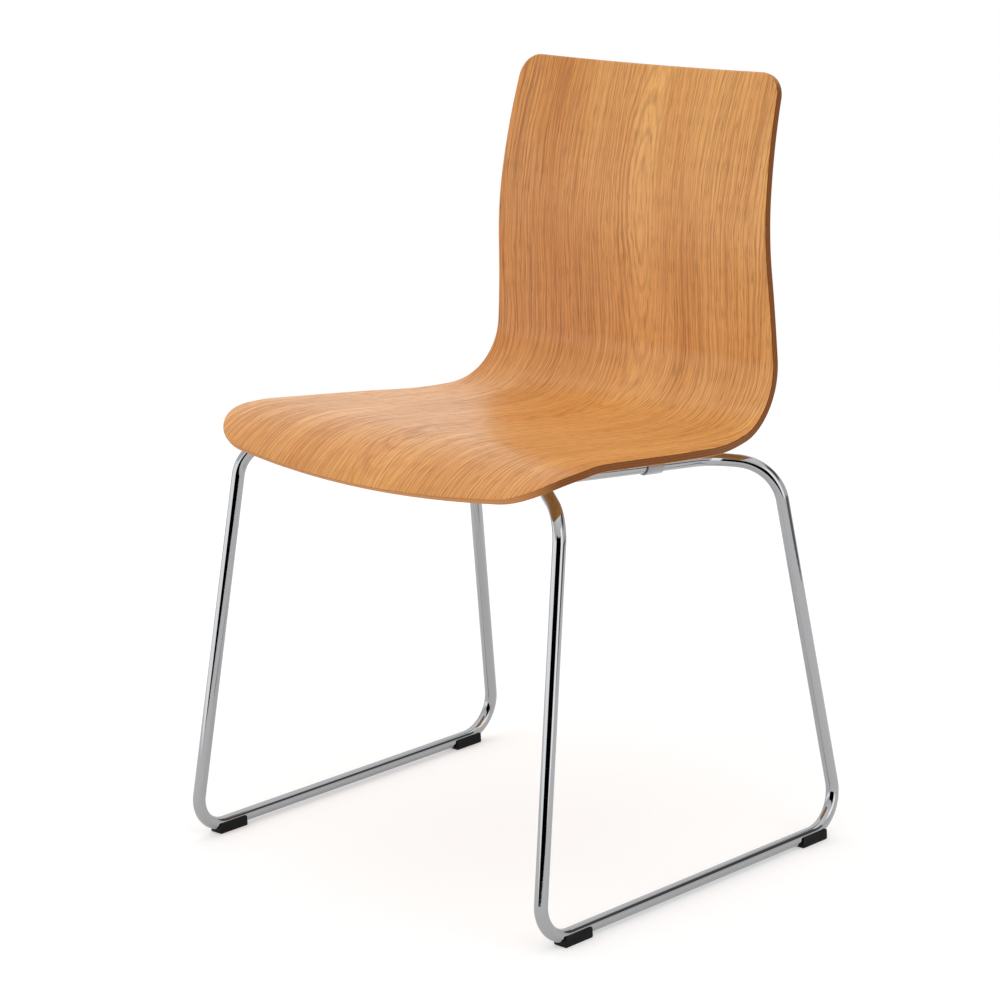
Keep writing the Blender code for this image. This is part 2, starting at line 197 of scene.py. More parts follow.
def new_finish(name, colour, roughness, metallic=0.0):
    made = bpy.data.materials.new(name)
    made.use_nodes = True
    shader = made.node_tree.nodes["Principled BSDF"]
    shader.inputs["Base Color"].default_value = (*colour, 1.0)
    shader.inputs["Roughness"].default_value = roughness
    shader.inputs["Metallic"].default_value = metallic
    return made, made.node_tree, shader


def mottle(tree, scale, detail, low, high, stretch=(1.0, 1.0, 1.0)):
    """Object-space noise mapped from low to high."""
    spot = step(tree, "ShaderNodeTexCoord").outputs["Object"]
    spread = step(tree, "ShaderNodeMapping", Vector=spot, Scale=stretch).outputs[0]
    noise = step(tree, "ShaderNodeTexNoise", Vector=spread, Scale=scale, Detail=detail).outputs[0]
    mapped = step(tree, "ShaderNodeMapRange", Value=noise, From_Min=0.3, From_Max=0.7,
                  To_Min=low, To_Max=high)
    return mapped.outputs[0]


def relief(tree, shader, height, strength, distance):
    bump = step(tree, "ShaderNodeBump", Strength=strength, Distance=distance, Height=height)
    tree.links.new(bump.outputs[0], shader.inputs["Normal"])


# Bright chrome: near-mirror, dulled in places by faint hand marks, with a trace of polishing waves
chrome, tree, shader = new_finish("bright_chrome", (0.365, 0.37, 0.38), 0.05, 1.0)
hand_marks = mottle(tree, scale=28.0, detail=4.0, low=0.035, high=0.085)
tree.links.new(hand_marks, shader.inputs["Roughness"])
polish_waves = mottle(tree, scale=160.0, detail=2.0, low=0.0, high=1.0)
relief(tree, shader, polish_waves, strength=0.04, distance=0.0002)

tube_tree, given = new_tree("bent_tube", (("Tube Radius", "Float"), ("Sides Round", "Int"),
                                          ("Finish", "Material")))
line = step(tube_tree, "GeometryNodeMeshToCurve", Mesh=given["Geometry"])
section = step(tube_tree, "GeometryNodeCurvePrimitiveCircle", Resolution=given["Sides Round"],
               Radius=given["Tube Radius"])
skin = step(tube_tree, "GeometryNodeCurveToMesh", Curve=line.outputs[0], i1=section.outputs[0])
smooth = step(tube_tree, "GeometryNodeSetShadeSmooth", Geometry=skin.outputs[0])
close_tree(tube_tree, smooth.outputs[0], given["Finish"])

for side, word in sides:
    route = loop_route(side)
    joined = [(k, (k + 1) % len(route)) for k in range(len(route))]
    loop = grow("tube_loop_" + word, base_of("loop_line", route, joined), tube_tree,
                {"Tube Radius": tube_radius, "Sides Round": tube_sides, "Finish": chrome})
    hand_over(loop, "chrome_tube", "frame_loop_" + word)


# ---- Seam plugs ----
# Where a loop's two ends meet, a short turned steel plug sits inside both and lines them up.
# It is plain zinc-plated steel and can't be seen once the loop is closed.

zinc, tree, shader = new_finish("zinc_plate", (0.56, 0.57, 0.58), 0.32, 1.0)
plating = mottle(tree, scale=90.0, detail=5.0, low=0.24, high=0.42, stretch=(1.0, 1.0, 6.0))
tree.links.new(plating, shader.inputs["Roughness"])
tool_marks = mottle(tree, scale=700.0, detail=3.0, low=0.0, high=1.0)
relief(tree, shader, tool_marks, strength=0.15, distance=0.0001)


def dress(node, finish):
    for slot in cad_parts[node].material_slots:
        slot.material = finish


for side, word in sides:
    dress("seam_spigot_" + word, zinc)


# ---- Crossbars ----
# Two flat steel bars, 36 by 5 mm with rounded corners, lie across the rails and tie the loops
# together. Each is drilled twice for the seat screws and welded to the rails before chroming.

bar_width = 0.036
bar_thickness = 0.005
bar_half_length = 0.182
bar_corner = 0.006
bar_y = {"front": -0.082, "rear": 0.108}
screw_x = 0.110
screw_hole = 0.0033
edge_round = 0.0007
fit_gap = 0.0003
hole_steps, corner_steps = 32, 8
rail_tilt = math.atan2(rail_rear[1] - rail_front[1], rail_rear[0] - rail_front[0])


def rail_height(y):
    return rail_front[1] + math.tan(rail_tilt) * (y - rail_front[0])


def on_rail(x, y, height):
    """Frame of a part that stands square on the tilted rails, height above their top."""
    foot = Matrix.Translation(place(x, y, rail_height(y)))
    tilt = Matrix.Rotation(rail_tilt, 4, "X")
    return foot @ tilt @ Matrix.Translation((0, 0, tube_radius + height))


def circle(centre, radius, count, start=0.0, sweep=360.0):
    """Points round a circle, or from end to end of an arc; angles in degrees."""
    turns = [math.radians(start + sweep * k / count) for k in range(count + (sweep < 360.0))]
    return [(centre[0] + radius * math.cos(a), centre[1] + radius * math.sin(a)) for a in turns]


def rounded_oblong(half_length, half_width, radius):
    outline = []
    for sx, sy, start in ((1, 1, 0), (-1, 1, 90), (-1, -1, 180), (1, -1, 270)):
        centre = (sx * (half_length - radius), sy * (half_width - radius))
        outline += circle(centre, radius, corner_steps, start, 90.0)
    return outline


def plate(outlines, thickness, rounding):
    """Flat plate with holes and rounded edges, centred on its own plane."""
    curve = bpy.data.curves.new("plate", "CURVE")
    curve.dimensions = "2D"
    curve.fill_mode = "BOTH"
    curve.extrude = thickness / 2 - rounding
    curve.bevel_depth = rounding
    curve.bevel_resolution = 2
    curve.offset = -rounding
    for outline in outlines:
        spline = curve.splines.new("POLY")
        spline.points.add(len(outline) - 1)
        for point, (x, y) in zip(spline.points, outline):
            point.co = (x, y, 0.0, 1.0)
        spline.use_cyclic_u = True
    drawn = set_down("plate", curve)
    graph = bpy.context.evaluated_depsgraph_get()
    mesh = bpy.data.meshes.new_from_object(drawn.evaluated_get(graph))
    bpy.data.objects.remove(drawn)
    bm = bmesh.new()
    bm.from_mesh(mesh)
    bmesh.ops.remove_doubles(bm, verts=bm.verts, dist=1e-6)
    bm.to_mesh(mesh)
    bm.free()
    return mesh


for end in ends:
    outlines = [rounded_oblong(bar_half_length, bar_width / 2, bar_corner)]
    outlines += [circle((side * screw_x, 0.0), screw_hole, hole_steps) for side, word in sides]
    mesh = plate(outlines, bar_thickness, edge_round)
    mesh.transform(on_rail(0.0, bar_y[end], fit_gap + bar_thickness / 2))
    bar = keep("crossbar_plate_" + end, mesh, sharp=30)
    bar.data.materials.clear()
    bar.data.materials.append(chrome)
    hand_over(bar, "chrome_tube", "crossbar_" + end)


# ---- Welds ----
# A short bead runs along each side of every rail, under the crossbar that lies on it. The ripples
# of the welding torch still show through the chrome.

bead_length = 0.024
bead_radius = 0.0017
bead_pitch = 0.0021
# How far a bead's centre line lies beside the rail's, and below the rail's top
bead_reach = 0.0046
bead_drop = 0.0014
# How bluntly the bead's ends close, its share of thickness between ripples, and twice the share
# that a ripple adds
bead_taper = 0.3
ripple_low, ripple_gain = 0.8, 0.4
bead_stations, bead_sides = 72, 14


def sums(tree, operation, first, second=0.0, third=0.0):
    """One sum on values or links, by the name of its operation."""
    return step(tree, "ShaderNodeMath", {"operation": operation}, i0=first, i1=second, i2=third).outputs[0]


def times(tree, first, second):
    return sums(tree, "MULTIPLY", first, second)


bead_tree, given = new_tree("weld_bead", (("Bead Radius", "Float"), ("Ripple Pitch", "Float"),
                                          ("Finish", "Material")))
line = step(bead_tree, "GeometryNodeMeshToCurve", Mesh=given["Geometry"])
line = step(bead_tree, "GeometryNodeResampleCurve", Curve=line.outputs[0], Count=bead_stations)
along = step(bead_tree, "GeometryNodeSplineParameter")
rounded = sums(bead_tree, "SINE", times(bead_tree, along.outputs["Factor"], math.pi))
taper = sums(bead_tree, "POWER", sums(bead_tree, "MAXIMUM", rounded, 0.001), bead_taper)
ripple = sums(bead_tree, "DIVIDE", along.outputs["Length"], given["Ripple Pitch"])
ripple = sums(bead_tree, "PINGPONG", ripple, 0.5)
ripple = sums(bead_tree, "MULTIPLY_ADD", ripple, ripple_gain, ripple_low)
line = step(bead_tree, "GeometryNodeSetCurveRadius", Curve=line.outputs[0],
            Radius=times(bead_tree, taper, ripple))
section = step(bead_tree, "GeometryNodeCurvePrimitiveCircle", Resolution=bead_sides,
               Radius=given["Bead Radius"])
skin = step(bead_tree, "GeometryNodeCurveToMesh", Curve=line.outputs[0], i1=section.outputs[0],
            Fill_Caps=True)
smooth = step(bead_tree, "GeometryNodeSetShadeSmooth", Geometry=skin.outputs[0])
close_tree(bead_tree, smooth.outputs[0], given["Finish"])

points, edges = [], []
for end in ends:
    for side, word in sides:
        for lean in (-bead_reach, bead_reach):
            spot = on_rail(side * rail_x + lean, bar_y[end], -bead_drop)
            edges.append((len(points), len(points) + 1))
            points += [spot @ Vector((0, reach, 0)) for reach in (-bead_length / 2, bead_length / 2)]
beads = grow("weld_beads", base_of("bead_lines", points, edges), bead_tree,
             {"Bead Radius": bead_radius, "Ripple Pitch": bead_pitch, "Finish": chrome})
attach(beads, "root")


# ---- Floor glides ----
# Four saddles moulded in black plastic snap over the runners, where each foot bend meets the
# straight. Their soles are flat, their walls reach up past the middle of the tube, and their
# corners are round.

glide_length = 0.0385
glide_half_width = 0.0085
glide_height = 0.0120
glide_corner = 0.0028
glide_heel = 0.0014
glide_rim = 0.0012
glide_start = {"front": -0.1988, "rear": 0.1605}
glide_edge = 0.0005
groove_steps = 32
foot_turn = {"front": front_foot_bend, "rear": rear_foot_bend}


def tube_rise(end, y):
    """How far the tube's centre has climbed above the runner at a distance y from the datum."""
    radius = foot_turn[end]
    slope = math.atan(1 / legs[end][0])
    tangent = radius / math.tan(slope / 2)
    past = max(0.0, abs(y) - (foot_half_span - tangent))
    return radius - math.sqrt(radius ** 2 - past ** 2)


def corner_drop(distance, radius):
    """Depth of a rounded corner at a distance from the end."""
    short = max(0.0, radius - distance)
    return radius - math.sqrt(radius ** 2 - short ** 2)


def glide_section(end, distance, inset):
    """Closed U section, distance from the glide's front end, shrunk by inset."""
    nearest = min(distance, glide_length - distance)
    top = glide_height - corner_drop(nearest, glide_corner) - inset
    low = corner_drop(nearest, glide_heel) + inset * 0.4
    width, flat = glide_half_width - inset, glide_half_width - inset - glide_rim
    wall_foot = low + glide_rim
    outer = [(-width, top + (wall_foot - top) * k / 6) for k in range(6)]
    outer += circle((-flat, wall_foot), glide_rim, 5, 180, 90.0)
    outer += [(x * flat, low) for x in (-0.6, -0.2, 0.2, 0.6)]
    outer += circle((flat, wall_foot), glide_rim, 5, 270, 90.0)
    outer += [(width, wall_foot + (top - wall_foot) * k / 6) for k in range(1, 7)]
    centre = runner_z + tube_rise(end, glide_start[end] + distance)
    groove = tube_radius + fit_gap * 0.5 + inset * 0.5
    lip = math.degrees(math.asin(max(-1.0, min(1.0, (top - centre) / groove))))
    inner = circle((0.0, centre), groove, groove_steps, 180 - lip, 180 + 2 * lip)
    return outer + inner[::-1]


def loft(sections):
    """Closed skin over matching sections, each a list of 3-D points."""
    bm = bmesh.new()
    rings = [[bm.verts.new(p) for p in section] for section in sections]
    for a, b in zip(rings, rings[1:]):
        for k in range(len(a)):
            bm.faces.new((a[k - 1], a[k], b[k], b[k - 1]))
    bm.faces.new(rings[0])
    bm.faces.new(rings[-1])
    mesh = bpy.data.meshes.new("loft")
    bm.to_mesh(mesh)
    bm.free()
    return mesh


def rounded_stations(length, rounding, extra=()):
    """Distances along a part and how far its section shrinks there, so its end edges are round."""
    turns = [math.radians(90 - 22.5 * k) for k in range(5)]
    first = [(rounding * (1 - math.sin(a)), rounding * (1 - math.cos(a))) for a in turns]
    middle = [(d, 0.0) for d in extra if rounding < d < length - rounding]
    last = [(length - d, inset) for d, inset in reversed(first)]
    return first + middle + last


black_plastic, tree, shader = new_finish("moulded_black", (0.0035, 0.0035, 0.004), 0.48)
shader.inputs["Specular IOR Level"].default_value = 0.12
wear = mottle(tree, scale=60.0, detail=3.0, low=0.40, high=0.58)
tree.links.new(wear, shader.inputs["Roughness"])
spark_finish = mottle(tree, scale=1500.0, detail=2.0, low=0.0, high=1.0)
relief(tree, shader, spark_finish, strength=0.25, distance=0.0001)

repeat_tree, given = new_tree("repeat_part", (("Part", "Object"), ("Finish", "Material")))
part = step(repeat_tree, "GeometryNodeObjectInfo", Object=given["Part"])
copies = step(repeat_tree, "GeometryNodeInstanceOnPoints", Points=given["Geometry"],
              Instance=part.outputs["Geometry"])
close_tree(repeat_tree, copies.outputs[0], given["Finish"])


def repeat(name, mesh, spots, finish, sharp=35):
    """Sets the same part at every spot."""
    part = keep(name + "_part", mesh, sharp)
    made = grow(name, base_of(name + "_spots", spots), repeat_tree, {"Part": part, "Finish": finish})
    bpy.data.objects.remove(part)
    return made


corner_stops = [glide_corner * (1 - math.cos(math.radians(a))) for a in (25, 40, 55, 70, 90)]
glide_stops = corner_stops + [glide_length * k / 12 for k in range(2, 11)]
glide_stops += [glide_length - d for d in corner_stops[::-1]]
for end in ends:
    sections = []
    for distance, inset in rounded_stations(glide_length, glide_edge, glide_stops):
        sections.append([(x, distance, z) for x, z in glide_section(end, distance, inset)])
    spots = [place(side * runner_x, glide_start[end], 0.0) for side, word in sides]
    glides = repeat("floor_glides_" + end, loft(sections), spots, black_plastic)
    hand_over(glides, "black_plastic", *[f"glide_{end}_{word}" for side, word in sides])


# ---- Stacking buffers ----
# A moulded clip of pale, half-clear plastic springs onto the lower side of each rail, between the
# two crossbars. It keeps the rails off the seat below when chairs are stacked.

buffer_length = 0.024
buffer_wall = 0.0016
buffer_y = 0.049
# How far the clip wraps to each side of the rail's lowest line, in degrees
buffer_wrap = 100.0
buffer_edge = 0.0004
wrap_steps, tip_steps = 48, 6

pale_plastic, tree, shader = new_finish("clear_grey", (0.46, 0.47, 0.50), 0.2)
shader.inputs["Transmission Weight"].default_value = 0.25
shader.inputs["IOR"].default_value = 1.47
rubbed = mottle(tree, scale=120.0, detail=3.0, low=0.14, high=0.26)
tree.links.new(rubbed, shader.inputs["Roughness"])
flow_waves = mottle(tree, scale=300.0, detail=2.0, low=0.0, high=1.0)
relief(tree, shader, flow_waves, strength=0.05, distance=0.0001)


def clip_section(inset):
    """Closed C section round the rail's centre, shrunk by inset, with round tips."""
    inner = tube_radius + fit_gap * 0.5 + inset * 0.5
    outer = tube_radius + fit_gap + buffer_wall - inset
    middle, tip = (inner + outer) / 2, (outer - inner) / 2
    low, high = -90 - buffer_wrap, -90 + buffer_wrap
    rounds = []
    for turn, start in ((high, high), (low, low + 180)):
        centre = (middle * math.cos(math.radians(turn)), middle * math.sin(math.radians(turn)))
        rounds.append(circle(centre, tip, tip_steps, start, 180.0)[1:-1])
    outside = circle((0.0, 0.0), outer, wrap_steps, low, 2 * buffer_wrap)
    inside = circle((0.0, 0.0), inner, wrap_steps, low, 2 * buffer_wrap)
    return outside + rounds[0] + inside[::-1] + rounds[1]


sections = []
for distance, inset in rounded_stations(buffer_length, buffer_edge):
    sections.append([(x, distance - buffer_length / 2, z) for x, z in clip_section(inset)])
mesh = loft(sections)
mesh.transform(Matrix.Rotation(rail_tilt, 4, "X"))
spots = [on_rail(side * rail_x, buffer_y, -tube_radius).translation for side, word in sides]
buffers = repeat("rail_buffers", mesh, spots, pale_plastic)
hand_over(buffers, "grey_plastic", *[f"stacking_buffer_{word}" for side, word in sides])


# ---- Seat spacers ----
# A black rubber ring stands between crossbar and shell at each of the four screws. It lifts the
# plywood clear of the rails and lets it flex without creaking.

# Sitting face of the shell: where its front edge starts, its slope there, and each stretch of the
# bent profile as a length and the angle it turns upwards
shell_thickness = 0.009
shell_start = (-0.2029 + datum_y, 0.4340, math.radians(50.1))
shell_bends = ((0.076, -44.0), (0.050, -13.0), (0.168, 0.0), (0.066, 9.8),
               (0.099, 84.7), (0.088, 3.7), (0.081, -11.9), (0.1305, -10.9))
shell_length = sum(length for length, turn in shell_bends)
spacer_radius = 0.0110
spacer_edge = 0.0008
search_steps = 40
turning_steps = 48


def shell_frame(s):
    """Point (y, z) on the sitting face at distance s from the front edge, and its slope."""
    y, z, angle = shell_start
    left = s
    for length, turn in shell_bends:
        run = min(left, length)
        bend = math.radians(turn) * run / length
        chord = run if abs(bend) < 1e-9 else run * math.sin(bend / 2) / (bend / 2)
        y += chord * math.cos(angle + bend / 2)
        z += chord * math.sin(angle + bend / 2)
        angle += bend
        left -= run
        if left <= 0.0:
            break
    return y, z, angle


def bent(x, s, depth):
    """Point of the flat blank, depth below the sitting face, once the shell is moulded."""
    y, z, angle = shell_frame(s)
    return Vector((x, y + depth * math.sin(angle), z - depth * math.cos(angle)))


def seat_clearance(y):
    """Height from the rails' top to the shell's underside, square to the rails."""
    upright = on_rail(0.0, y, 0.0).inverted()
    low, high = 0.0, shell_length / 2
    for k in range(search_steps):
        middle = (low + high) / 2
        if (upright @ bent(0.0, middle, shell_thickness)).y < 0.0:
            low = middle
        else:
            high = middle
    return (upright @ bent(0.0, low, shell_thickness)).z


def turned(profile, hexagon=()):
    """Turned ring or solid from (radius, height) points that run round its section. The points
    numbered in hexagon are six-sided, for a socket."""
    bm = bmesh.new()
    rings = []
    for i, (radius, height) in enumerate(profile):
        ring = []
        for k in range(turning_steps):
            a = 2 * math.pi * k / turning_steps
            fold = (a + math.pi / 6) % (math.pi / 3) - math.pi / 6
            reach = radius / math.cos(fold) if i in hexagon else radius
            ring.append(bm.verts.new((reach * math.cos(a), reach * math.sin(a), height)))
        rings.append(ring)
    closed = len(profile) > 2 and profile[0] == profile[-1]
    if closed:
        for vertex in rings.pop():
            bm.verts.remove(vertex)
    joins = list(zip(rings, rings[1:])) + ([(rings[-1], rings[0])] if closed else [])
    for a, b in joins:
        for k in range(turning_steps):
            bm.faces.new((a[k - 1], a[k], b[k], b[k - 1]))
    if not closed:
        bm.faces.new(rings[0])
        bm.faces.new(rings[-1])
    mesh = bpy.data.meshes.new("turned")
    bm.to_mesh(mesh)
    bm.free()
    mesh.transform(Matrix.Rotation(rail_tilt, 4, "X"))
    return mesh


def ring_profile(inner, outer, low, high, rounding):
    """Section of a ring with rounded edges, closed."""
    points = []
    for cx, cz, start in ((outer - rounding, high - rounding, 0), (inner + rounding, high - rounding, 90),
                          (inner + rounding, low + rounding, 180), (outer - rounding, low + rounding, 270)):
        points += circle((cx, cz), rounding, 4, start, 90.0)
    return points + points[:1]


def screw_spots(end):
    """Where the screws' centre lines cross the rails' centre plane at one crossbar."""
    return [on_rail(side * screw_x, bar_y[end], -tube_radius).translation for side, word in sides]


rubber, tree, shader = new_finish("black_rubber", (0.028, 0.027, 0.026), 0.8)
bloom = mottle(tree, scale=200.0, detail=4.0, low=0.70, high=0.92)
tree.links.new(bloom, shader.inputs["Roughness"])
mould_grain = mottle(tree, scale=1200.0, detail=3.0, low=0.0, high=1.0)
relief(tree, shader, mould_grain, strength=0.3, distance=0.0001)

for end in ends:
    low = fit_gap + bar_thickness + fit_gap
    high = seat_clearance(bar_y[end]) - 2 * fit_gap
    profile = ring_profile(screw_hole, spacer_radius, low, high, spacer_edge)
    profile = [(radius, height + tube_radius) for radius, height in profile]
    spacers = repeat("seat_spacers_" + end, turned(profile), screw_spots(end), rubber)
    hand_over(spacers, "black_rubber", *[f"spacer_{end}_{word}" for side, word in sides])


# ---- Threaded inserts ----
# Steel bushes with an inner thread are set blind into the shell's underside, so that nothing
# shows on the sitting face. They keep their plain zinc finish.

for end in ends:
    for side, word in sides:
        dress(f"insert_{end}_{word}", zinc)


# ---- Screws and washers ----
# Button-head screws with a hexagon socket come up through washer, crossbar and spacer into the
# inserts. Screws and washers are zinc-plated steel.

washer_radius, washer_thickness, washer_edge = 0.0080, 0.0016, 0.0002
screw_radius = 0.0027
head_radius, head_height, head_rim = 0.0056, 0.0033, 0.0006
# The socket: half its width across the flats, its depth, the cone at its bottom and its flat tip
socket_flats, socket_depth, socket_cone, socket_tip = 0.0019, 0.0018, 0.0005, 0.0002
thread_pitch, thread_depth = 0.0008, 0.00045
tip_radius = 0.0025
# Plain lengths that the thread leaves under the head and at the screw's tip
thread_start, thread_stop = 0.0004, 0.001
# Chamfers, each as its size across and its size along the screw
socket_chamfer, head_chamfer, tip_chamfer = (0.0003, 0.0002), (0.0002, 0.0003), (0.0005, 0.0004)
insert_pocket = 0.0070

washer_spots = screw_spots("front") + screw_spots("rear")
washer = ring_profile(screw_hole, washer_radius, tube_radius - washer_thickness, tube_radius, washer_edge)
washers = repeat("screw_washers", turned(washer), washer_spots, zinc)
hand_over(washers, "zinc_steel", *[f"washer_{end}_{word}" for end in ends for side, word in sides])


def screw_profile(end):
    """From the bottom of the socket, round the head and up the ridged thread to the tip."""
    head_top = tube_radius - washer_thickness - fit_gap
    head_low = head_top - head_height
    tip = tube_radius + seat_clearance(bar_y[end]) + insert_pocket - 4 * fit_gap
    neck = head_top + thread_start
    profile = [(socket_tip, head_low + socket_depth + socket_cone),
               (socket_flats, head_low + socket_depth),
               (socket_flats, head_low + socket_chamfer[1]),
               (socket_flats + socket_chamfer[0], head_low)]
    for a in (math.radians(d) for d in (34, 42, 50, 58, 66, 74, 82, 89)):
        crown = (head_height - head_rim) * math.cos(a) ** 0.8
        profile.append((head_radius * math.sin(a), head_top - head_rim - crown))
    profile += [(head_radius, head_top - head_chamfer[1]), (head_radius - head_chamfer[0], head_top),
                (screw_radius, head_top)]
    for k in range(int((tip - head_top - thread_stop) / thread_pitch)):
        crest = neck + k * thread_pitch
        profile += [(screw_radius, crest), (screw_radius - thread_depth, crest + thread_pitch / 2)]
    return profile + [(tip_radius, tip - tip_chamfer[1]), (tip_radius - tip_chamfer[0], tip)]


for end in ends:
    screw = turned(screw_profile(end), hexagon=(1, 2))
    screws = repeat("seat_screws_" + end, screw, screw_spots(end), zinc, sharp=28)
    hand_over(screws, "zinc_steel", *[f"screw_{end}_{word}" for side, word in sides])


# ---- Seat shell ----
# The seat and back are one sheet of 9 mm plywood, glued and bent between heated moulds: thin
# cross-laid plies under an oak face veneer whose grain runs from the front lip up to the top.
# The outline is cut after moulding, its edges rounded by hand and left showing the plies.

front_edge_radius = 1.3
front_corner_radius = 0.074
top_corner_radius = 0.027
top_edge_sag = 0.0015
seat_half_width = 0.255
side_taper = 0.055
waist_drop, waist_s, waist_spread = 0.030, 0.342, 0.030
# Radius of the rounded edges, and how far in from the outline the one large flat face starts
arris = 0.0022
rim_width = 0.0065
veneer_depth = 0.0006
# Length of the strips that the blank is cut across into, on the straight and in the tight bends,
# and the number of points on each part of its outline
straight_strip, bent_strip = 0.008, 0.0022
front_points, front_corner_points, side_points, top_corner_points, top_points = 30, 40, 150, 24, 20


def half_width(s):
    """The seat tapers gently, and its sides draw in to the waist where it turns up."""
    waist = waist_drop / (1.0 + math.exp(-(s - waist_s) / waist_spread))
    return seat_half_width - side_taper * (s - front_corner_radius) - waist


def arc(centre_x, centre_s, radius, start, finish, count):
    turns = [math.radians(start + (finish - start) * k / count) for k in range(count + 1)]
    return [(centre_x + radius * math.sin(a), centre_s - radius * math.cos(a)) for a in turns]


def blank_outline():
    """Outline of the flat blank, once round from the middle of the front edge."""
    taper = math.degrees(math.atan(side_taper))
    centre_x = seat_half_width - front_corner_radius
    reach = front_edge_radius - front_corner_radius
    centre_s = front_edge_radius - math.sqrt(reach ** 2 - centre_x ** 2)
    meet = math.degrees(math.asin(centre_x / reach))
    right = arc(0.0, front_edge_radius, front_edge_radius, 0.0, meet, front_points)
    right += arc(centre_x, centre_s, front_corner_radius, meet, 90.0 + taper, front_corner_points)[1:]
    first = right[-1][1]
    top_s = shell_length - top_corner_radius
    for k in range(1, side_points):
        s = first + (top_s - first) * k / side_points
        right.append((half_width(s), s))
    top_x = half_width(top_s) - top_corner_radius
    right += arc(top_x, top_s, top_corner_radius, 90.0 + taper, 180.0, top_corner_points)
    for k in range(1, top_points + 1):
        t = 1 - k / top_points
        right.append((top_x * t, shell_length - top_edge_sag * (1 - t ** 2)))
    return right + [(-x, s) for x, s in reversed(right[1:-1])]


outline = blank_outline()
count = len(outline)
normals = []
for k in range(count):
    ahead, behind = Vector(outline[(k + 1) % count]), Vector(outline[k - 1])
    along = (ahead - behind).normalized()
    normals.append(Vector((along.y, -along.x)))

# Section of the edge: how far in from the outline, how deep, and which way it faces (0 up, 180 down)
upper_arris = [(arris * (1 - math.sin(a)), arris * (1 - math.cos(a)), math.degrees(a))
               for a in (math.radians(15 * k) for k in range(7))]
edge_section = [(rim_width, 0.0, 0.0)] + upper_arris
edge_section += [(0.0, arris + (shell_thickness - 2 * arris) * k / 4, 90.0) for k in range(1, 4)]
edge_section += [(inset, shell_thickness - depth, 180 - turn) for inset, depth, turn in upper_arris[::-1]]
edge_section += [(rim_width, shell_thickness, 180.0)]

bm = bmesh.new()
facing = bm.verts.layers.float.new("facing")
outwards = bm.verts.layers.float_vector.new("outwards")
rings = []
for inset, depth, turn in edge_section:
    ring = []
    for (x, s), n in zip(outline, normals):
        vertex = bm.verts.new((x - n.x * inset, s - n.y * inset, depth))
        vertex[facing] = turn
        vertex[outwards] = (n.x, n.y, 0.0)
        ring.append(vertex)
    rings.append(ring)
for a, b in zip(rings, rings[1:]):
    for k in range(count):
        bm.faces.new((a[k - 1], a[k], b[k], b[k - 1]))
bm.faces.new(rings[0])
bm.faces.new(rings[-1])

# Cut across at every step of the bend, so that each strip stays flat when the blank is moulded
s = 0.0
for length, turn in shell_bends:
    strips = math.ceil(length / (bent_strip if abs(turn) > 20.0 else straight_strip))
    for k in range(strips):
        if s > 0.0:
            everything = bm.verts[:] + bm.edges[:] + bm.faces[:]
            bmesh.ops.bisect_plane(bm, geom=everything, dist=1e-7, plane_co=(0, s, 0), plane_no=(0, 1, 0))
        s += length / strips

# Flat coordinates for the grain, which the underside takes from another part of the veneer
grain = bm.loops.layers.uv.new("Blank")
ply = bm.loops.layers.uv.new("Ply")
underside_shift = 0.9
for face in bm.faces:
    depth = face.calc_center_median().z
    on_veneer = depth < veneer_depth or depth > shell_thickness - veneer_depth
    face.material_index = 0 if on_veneer else 1
    face.smooth = True
    shift = underside_shift if depth > shell_thickness / 2 else 0.0
    for corner in face.loops:
        x, s, z = corner.vert.co
        corner[grain].uv = (x + shift, s)
        corner[ply].uv = (z, s)
directions = []
for vertex in bm.verts:
    x, s, z = vertex.co
    angle = shell_frame(s)[2]
    turn = math.radians(vertex[facing])
    sideways, lengthways = vertex[outwards].x, vertex[outwards].y
    out = Vector((sideways, lengthways * math.cos(angle), lengthways * math.sin(angle)))
    up = Vector((0.0, -math.sin(angle), math.cos(angle)))
    directions.append((up * math.cos(turn) + out * math.sin(turn)).normalized())
    vertex.co = bent(x, s, z)
bm.normal_update()
bmesh.ops.recalc_face_normals(bm, faces=bm.faces)
mesh = bpy.data.meshes.new("oak_shell")
bm.to_mesh(mesh)
bm.free()
mesh.normals_split_custom_set_from_vertices(directions)
shell = set_down("oak_shell", mesh)


def ranged(tree, value, low, high, to_low=0.0, to_high=1.0):
    """Eases from one value to another as its input goes from low to high, and holds beyond them."""
    return step(tree, "ShaderNodeMapRange", {"interpolation_type": "SMOOTHSTEP"}, Value=value,
                From_Min=low, From_Max=high, To_Min=to_low, To_Max=to_high).outputs[0]


def grain_noise(tree, across, along, across_scale, along_scale, detail, rough=0.5):
    """Noise drawn out along the grain; the scales are marks for each metre."""
    spot = step(tree, "ShaderNodeCombineXYZ", X=times(tree, across, across_scale),
                Y=times(tree, along, along_scale)).outputs[0]
    return step(tree, "ShaderNodeTexNoise", {"noise_dimensions": "2D"}, Vector=spot, Scale=1.0,
                Detail=detail, Roughness=rough).outputs[0]


def blended(tree, factor, first, second, mode="MIX"):
    made = step(tree, "ShaderNodeMix", {"data_type": "RGBA", "blend_type": mode}, i0=factor)
    for socket, value in ((made.inputs[6], first), (made.inputs[7], second)):
        if isinstance(value, bpy.types.NodeSocket):
            tree.links.new(value, socket)
        else:
            socket.default_value = (*value, 1.0)
    return made.outputs[2]


